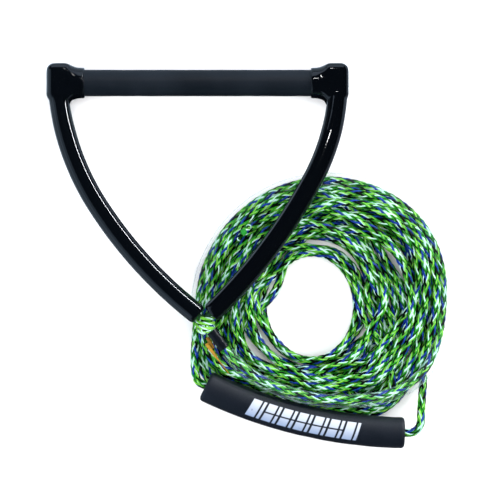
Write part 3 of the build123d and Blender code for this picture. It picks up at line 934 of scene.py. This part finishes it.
def moulded_cover(side, material):
    """The dipped corner with its arm: the CAD solid with every edge run together."""
    name = f"yoke_cover_{side}"
    node = frame["nodes"][name]
    mesh = node.data.copy()
    cover = add_object(f"arm_cover_{side}", mesh)
    welded = bmesh.new()
    welded.from_mesh(mesh)
    extra = swelling(-1 if side == "left" else 1)
    welded.from_mesh(extra)
    bpy.data.meshes.remove(extra)
    bmesh.ops.remove_doubles(welded, verts=welded.verts, dist=1e-6)
    welded.to_mesh(mesh)
    welded.free()
    remesh = cover.modifiers.new("melt", "REMESH")
    remesh.mode = "VOXEL"
    remesh.voxel_size = COVER_VOXEL
    remesh.use_smooth_shade = True
    smooth_out(cover, COVER_SMOOTHING)
    # the arm itself is plain, so it can be smoothed further than the corner
    arm = cover.vertex_groups.new(name="arm")
    for vertex in cover.data.vertices:
        weight = (ARM_FROM - vertex.co.y) / ARM_EASE
        if weight > 0:
            arm.add([vertex.index], min(weight, 1.0), "REPLACE")
    smooth_out(cover, ARM_SMOOTHING, "arm")
    for vertex in cover.data.vertices:
        vertex.co.z = max(vertex.co.z, COVER_LOWEST)
    wear(cover, material)
    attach(cover, "handle")
    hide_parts(name)
    return cover


black_gloss = gloss_material()
covers = [moulded_cover(side, black_gloss) for side in ("left", "right")]

# ---------- the float
FLOAT_ROWS, FLOAT_CORNERS = 120, 80
FLOAT_STEP = 0.0018
FLOAT_EDGE = 0.0036
BORE_RADIUS = 0.0051
BORE_LIP = 0.0007


def rounded_ends(length, corners, radius, edge, step, inner, lip, depth):
    """Stations along a bar with round rims, whose ends turn in to a bore, and its size at each
    corner there."""
    ease = np.linspace(math.pi / 2, 0, 9)
    rim_place, rim_size = edge * (1 - np.sin(ease)), radius - edge * (1 - np.cos(ease))
    sides = np.arange(edge + step, length - edge - step / 2, step)
    half = np.concatenate([[depth, 0.0], rim_place])
    half_size = np.concatenate([[inner, inner + lip], rim_size])
    stations = np.concatenate([half, sides, length - half[::-1]])
    sizes = np.concatenate([half_size, np.full(len(sides), radius), half_size[::-1]])
    return stations, np.repeat(sizes[:, None], corners, axis=1)


def make_float():
    """The foam float: a bent bar with soft rims, a bore for the rope and a few shallow dents."""
    draw = np.random.default_rng(5)
    line = Line(float_line(FLOAT_ROWS), FLOAT_STEP)
    stations, sizes = rounded_ends(
        line.length, FLOAT_CORNERS, FLOAT_RADIUS, FLOAT_EDGE, FLOAT_STEP, BORE_RADIUS, BORE_LIP, 0.004
    )
    angle = around(FLOAT_CORNERS, math.pi)
    outside = sizes > FLOAT_RADIUS - FLOAT_EDGE / 2
    for _ in range(26):
        place, turn = draw.uniform(0.01, line.length - 0.01), draw.uniform(0, 2 * math.pi)
        depth, spread = draw.uniform(0.00008, 0.00028), draw.uniform(0.003, 0.009)
        beside = ((angle - turn + math.pi) % (2 * math.pi) - math.pi) * FLOAT_RADIUS
        dent = np.exp(-((stations[:, None] - place) ** 2 + beside[None, :] ** 2) / spread**2)
        sizes = sizes - depth * dent * outside
    rings = line.rings(sizes, FLOAT_CORNERS, stations, start=math.pi)
    piece = skin("float_cover", rings, stations, capped=False)
    wear(piece, float_material())
    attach(piece, "float")
    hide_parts("float_body")
    return piece


make_float()

# ---------- the grip
GRIP_RADIUS, GRIP_HALF = 0.0135, 0.1215
GRIP_CORNERS, GRIP_STEP = 80, 0.0015


def make_grip():
    """The bar's rubber sleeve, pressed a little where hands hold it."""
    line = Line([(-GRIP_HALF, BAR_Y, BAR_Z), (GRIP_HALF, BAR_Y, BAR_Z)], GRIP_STEP)
    stations, sizes = rounded_ends(
        line.length, GRIP_CORNERS, GRIP_RADIUS, 0.0008, GRIP_STEP, 0.0112, 0.0002, 0.003
    )
    angle = around(GRIP_CORNERS, math.pi)
    worn = np.sin(stations * 95.0)[:, None] * np.cos(2 * angle)[None, :]
    worn = worn + 0.6 * np.sin(stations * 231.0)[:, None] * np.cos(3 * angle + 1.0)[None, :]
    sizes = sizes - 0.00005 * (1.6 + worn) * (sizes > GRIP_RADIUS - 0.001)
    rings = line.rings(sizes, GRIP_CORNERS, stations, start=math.pi)
    piece = skin("grip_cover", rings, stations, capped=False)
    wear(piece, grip_material())
    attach(piece, "handle")
    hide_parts("grip_sleeve")


make_grip()

# ---------- the knot, the sleeve and the tag
APEX = np.array([0.0084, -0.1273, 0.042])
SLEEVE_HEADING = np.array([0.607, -0.794, 0.0]) / math.hypot(0.607, 0.794)
SLEEVE_START, SLEEVE_END = 0.0101, 0.0321
SLEEVE_OUTER, SLEEVE_INNER = 0.0056, 0.0049


def twisted(name, points, radius, lay, colours, body):
    """A small rope of twisted round strands along a line, one piece for each strand."""
    line = Line(points, 0.0005)
    turn = 2 * math.pi * line.along / lay
    pieces = []
    for index, colour in enumerate(colours):
        theta = (turn + 2 * math.pi * index / len(colours))[:, None]
        middle = line.points + 0.52 * radius * (np.cos(theta) * line.normal + np.sin(theta) * line.side)
        piece = rod(f"{name}_{index + 1}", Line(middle, 0.0005), 0.47 * radius, 8)
        wear(piece, yarns(colour, colour))
        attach(piece, body)
        pieces.append(piece)
    return pieces


def make_knot():
    """Wraps of bridle rope round the legs where they meet, and the tail's loop over them."""
    wraps, pitch = 3.1, 0.0042
    share = np.linspace(0, 1, 300)
    angle = 2 * math.pi * wraps * share - 0.6
    swell = 0.0070 + 0.0006 * np.sin(math.pi * share)
    sag = 0.0010 + 0.0020 * share
    wrap = as_points(
        APEX[0] + swell * np.sin(angle) * 1.12,
        APEX[1] + 0.0062 - pitch * wraps * share - sag * np.cos(angle),
        APEX[2] + swell * np.cos(angle),
    )
    turn = np.linspace(0.2, 2 * math.pi - 0.1, 60)
    loop = as_points(
        APEX[0] + 0.0002 + 0.0046 * np.sin(turn),
        APEX[1] - 0.0058 + 0.0032 * np.cos(turn),
        APEX[2] + 0.0086 - 0.0016 * np.cos(turn) - 0.0030 * np.sin(turn) ** 2,
    )
    tuck = np.array([(0.0130, -0.1288, 0.0478), (0.0152, -0.1300, 0.0462), (0.0163, -0.1322, 0.0430)])
    pieces = twisted("knot_wrap", wrap, 0.0017, 0.016, ("lime", "mint", "lime"), "handle")
    pieces += twisted("knot_loop", loop, 0.0014, 0.009, ("mint", "lime"), "handle")
    inside = Line([APEX + (0.0, 0.0070, 0.0), APEX - (0.0, 0.0095, 0.0)], 0.0005)
    rounding = np.sqrt(np.clip(1 - (2 * inside.along / inside.length - 1) ** 6, 0.05, 1))
    core = skin("knot_core", inside.rings(0.0062 * rounding, 24), inside.along)
    pieces.append(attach(wear(core, yarns("black", "green")), "handle"))
    pieces += twisted("knot_tuck", tuck, 0.0017, 0.012, ("blue", "blue"), "handle")
    for side, start in (("left", (0.0006, -0.1179, 0.0432)), ("right", (0.0157, -0.1156, 0.0447))):
        leg = np.linspace(np.array(start), APEX, 12)
        colours = ("green", "black", "lime", "mint")
        pieces += twisted(f"bridle_leg_{side}", leg, 0.0043, 0.020, colours, "handle")
    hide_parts("apex_knot")


def make_sleeve():
    """Heat-shrunk rubber over the splice: its ends grip tighter and it wrinkles a little."""
    draw = np.random.default_rng(3)
    start, end = APEX + SLEEVE_HEADING * SLEEVE_START, APEX + SLEEVE_HEADING * SLEEVE_END
    line = Line([start, end], 0.0005)
    corners = 56
    stations, sizes = rounded_ends(
        line.length, corners, SLEEVE_OUTER, 0.0004, 0.0005, SLEEVE_INNER, 0.0, 0.004
    )
    angle = around(corners)
    outside = sizes > SLEEVE_INNER + 0.0002
    wrinkle = np.zeros_like(sizes)
    for _ in range(14):
        pace, lean, phase = draw.uniform(250, 1500), draw.integers(-4, 5), draw.uniform(0, 6.28)
        wrinkle += np.sin(pace * stations[:, None] + lean * angle[None, :] + phase) / 14
    sizes = sizes - outside * (0.00018 - 0.00055 * np.clip(wrinkle, -0.3, 0.3))
    piece = skin("sleeve_cover", line.rings(sizes, corners, stations), stations, capped=False)
    shader = Shader("sleeve_rubber", (0.0020, 0.0032, 0.0055), 0.34, specular=0.24)
    grain = shader.noise(shader.place(), 700.0)
    shader.link(shader.ranged(grain, 0.3, 0.7, 0.26, 0.46), "Roughness")
    shader.bump(grain, 0.25, 0.0002)
    wear(piece, shader.material)
    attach(piece, "hitch")
    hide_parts("splice_sleeve")


def ribbon(name, points, widths, thickness, material):
    """A flat woven strip along a line, as wide as widths say."""
    line = Line(points, 0.0006)
    share = np.linspace(0, 1, len(widths))
    half = np.interp(line.along / line.length, share, widths)[:, None, None] / 2
    side, normal = line.side[:, None, :], line.normal[:, None, :]
    across = np.array([-1.0, -0.92, 0.0, 0.92, 1.0, 0.92, 0.0, -0.92])[None, :, None]
    lift = np.array([0.0, 1.0, 1.15, 1.0, 0.0, -1.0, -1.15, -1.0])[None, :, None]
    rings = line.points[:, None, :] + half * across * side + thickness / 2 * lift * normal
    piece = skin(name, rings[:, ::-1], line.along)
    wear(piece, material)
    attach(piece, "hitch")
    return piece


def webbing_material(name, dark, light):
    """Fine woven ribbon."""
    shader = Shader(name, light, 0.45, specular=0.4)
    weave = shader.node("ShaderNodeTexWave", {"Vector": shader.place(uv=True), "Scale": 420.0}).outputs[1]
    patches = shader.noise(shader.place(), 320.0)
    shade = shader.math("MULTIPLY", weave, shader.ranged(patches, 0.3, 0.7, 0.5, 1.0))
    shader.link(shader.blend(shade, dark, light), "Base Color")
    shader.bump(weave, 0.3, 0.0002)
    return shader.material


def make_tag():
    """A narrow folded ribbon beside the sleeve, drawn out to a thin tail."""
    amber = webbing_material("tag_amber", (0.22, 0.11, 0.006), (0.56, 0.31, 0.020))
    # the fold behind is the same amber ribbon, painted darker as shade
    amber_in_painted_shade = webbing_material("tag_amber_painted_shade", (0.13, 0.065, 0.004), (0.30, 0.16, 0.012))
    front = [
        (0.0094, -0.1480, 0.0384),
        (0.0128, -0.1530, 0.0388),
        (0.0170, -0.1586, 0.0386),
        (0.0215, -0.1646, 0.0376),
        (0.0268, -0.1715, 0.0368),
        (0.0322, -0.1785, 0.0366),
    ]
    back = [(0.0102, -0.1420, 0.0366), (0.0130, -0.1468, 0.0372), (0.0168, -0.1528, 0.0370)]
    tag = ribbon("tag_front", front, (0.0034, 0.0035, 0.0028, 0.0010, 0.0008, 0.0008), 0.0007, amber)
    ribbon("tag_back", back, (0.0036, 0.0038, 0.0030), 0.0007, amber_in_painted_shade)
    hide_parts("size_tag")


make_knot()
make_sleeve()
make_tag()

# ---------- the parts that stay as they are in CAD
nodes = frame["nodes"]
bar_alloy = plain_material("bar_alloy", (0.55, 0.56, 0.58), 0.32, 700.0, metallic=1.0, bump=0.1)
wear(nodes["bar_tube"], bar_alloy)
wear(nodes["flotation_core"], plain_material("core_foam", (0.82, 0.80, 0.72), 0.8))
plug_plastic = plain_material("plug_plastic", (0.02, 0.02, 0.022), 0.45)
bridle_cord = plain_material("bridle_cord", (0.006, 0.040, 0.012), 0.6, 900.0, bump=0.5)
for side in ("left", "right"):
    wear(nodes[f"end_plug_{side}"], plug_plastic)
    wear(nodes[f"stopper_knot_{side}"], bridle_cord)
wear(nodes["bridle_rope"], bridle_cord)
wear(nodes["rope_splice"], plain_material("splice_yarn", (0.10, 0.35, 0.12), 0.6, 900.0, bump=0.5))


# ---------- floor and lights
def make_floor():
    """A wide pale table top that the gloss doesn't mirror."""
    mesh = bpy.data.meshes.new("floor")
    half = 6.0
    corners = [(-half, -half, 0), (half, -half, 0), (half, half, 0), (-half, half, 0)]
    mesh.from_pydata(corners, [], [(0, 1, 2, 3)])
    floor = add_object("floor", mesh)
    floor.location = (0, 0, -0.0003)
    shader = Shader("floor_white", (0.93, 0.93, 0.94), 0.9, specular=0.1)
    wear(floor, shader.material)
    floor.visible_glossy = False


def area_light(name, place, aim, size, power, colour=(1.0, 1.0, 1.0), glossy=True):
    """A soft light that faces a point.  Without glossy it isn't mirrored in the gloss."""
    data = bpy.data.lights.new(name, "AREA")
    data.shape = "RECTANGLE"
    data.size, data.size_y = size
    data.energy = power
    data.color = colour
    light = add_object(name, data)
    light.location = place
    light.rotation_euler = (Vector(aim) - Vector(place)).to_track_quat("-Z", "Y").to_euler()
    light.visible_glossy = glossy
    return light


def keep_off(light, piece):
    """Shades a piece from a light."""
    flagged = bpy.data.collections.new(f"{light.name}_flag")
    flagged.objects.link(piece)
    light.light_linking.receiver_collection = flagged
    flagged.collection_objects[0].light_linking.link_state = "EXCLUDE"


def make_world():
    """A pale backdrop that sheds no light."""
    world = bpy.data.worlds.new("studio")
    bpy.context.scene.world = world
    world.use_nodes = True
    background = world.node_tree.nodes["Background"]
    background.inputs["Color"].default_value = (0.93, 0.94, 0.96, 1.0)
    seen = world.cycles_visibility
    seen.diffuse = seen.glossy = seen.transmission = seen.scatter = False


make_floor()
make_world()
middle = (0.05, -0.05, 0.02)
# seen in the gloss
area_light("key_north", (0.0, 1.80, 0.62), middle, (2.6, 1.2), 13.0, (0.62, 0.78, 1.0))
area_light("glint_north", (0.05, 1.00, 1.45), middle, (0.26, 0.06), 2.8)
area_light("band_west", (-1.70, -0.60, 0.80), middle, (3.4, 1.6), 12.0, (0.55, 0.76, 1.0))
area_light("band_low", (-1.80, -0.65, 0.35), middle, (3.4, 0.7), 4.4, (0.62, 0.80, 1.0))
line_east = area_light("line_east", (1.33, 0.97, 0.46), middle, (1.35, 0.06), 31.0, (0.93, 0.96, 1.0))
keep_off(line_east, covers[1])
# below the floor, which the gloss doesn't see: these stand for its shine at the black parts' edges
for name, x, y, size, power, red in (
    ("rim_north", 0.0, 1.32, (4.4, 2.4), 24.0, 0.62),
    ("rim_west", -1.17, -0.55, (2.0, 2.2), 10.0, 0.62),
    ("rim_east", 1.19, 0.20, (2.0, 2.0), 6.0, 0.70),
):
    area_light(name, (x, y, -0.15), (x, y, 1.0), size, power, (red, 0.80, 1.0))
# only for the matt surfaces
for name, place, size, power in (
    ("fill_top", (0.05, 0.25, 1.9), 1.5, 30.0),
    ("fill_left", (-1.5, -0.4, 1.3), 1.3, 24.0),
    ("fill_right", (1.5, -0.4, 1.3), 1.3, 24.0),
    ("fill_front", (0.1, -1.5, 1.3), 1.3, 18.0),
):
    area_light(name, place, middle, (size, size), power, glossy=False)
bpy.context.scene.view_settings.view_transform = "Standard"
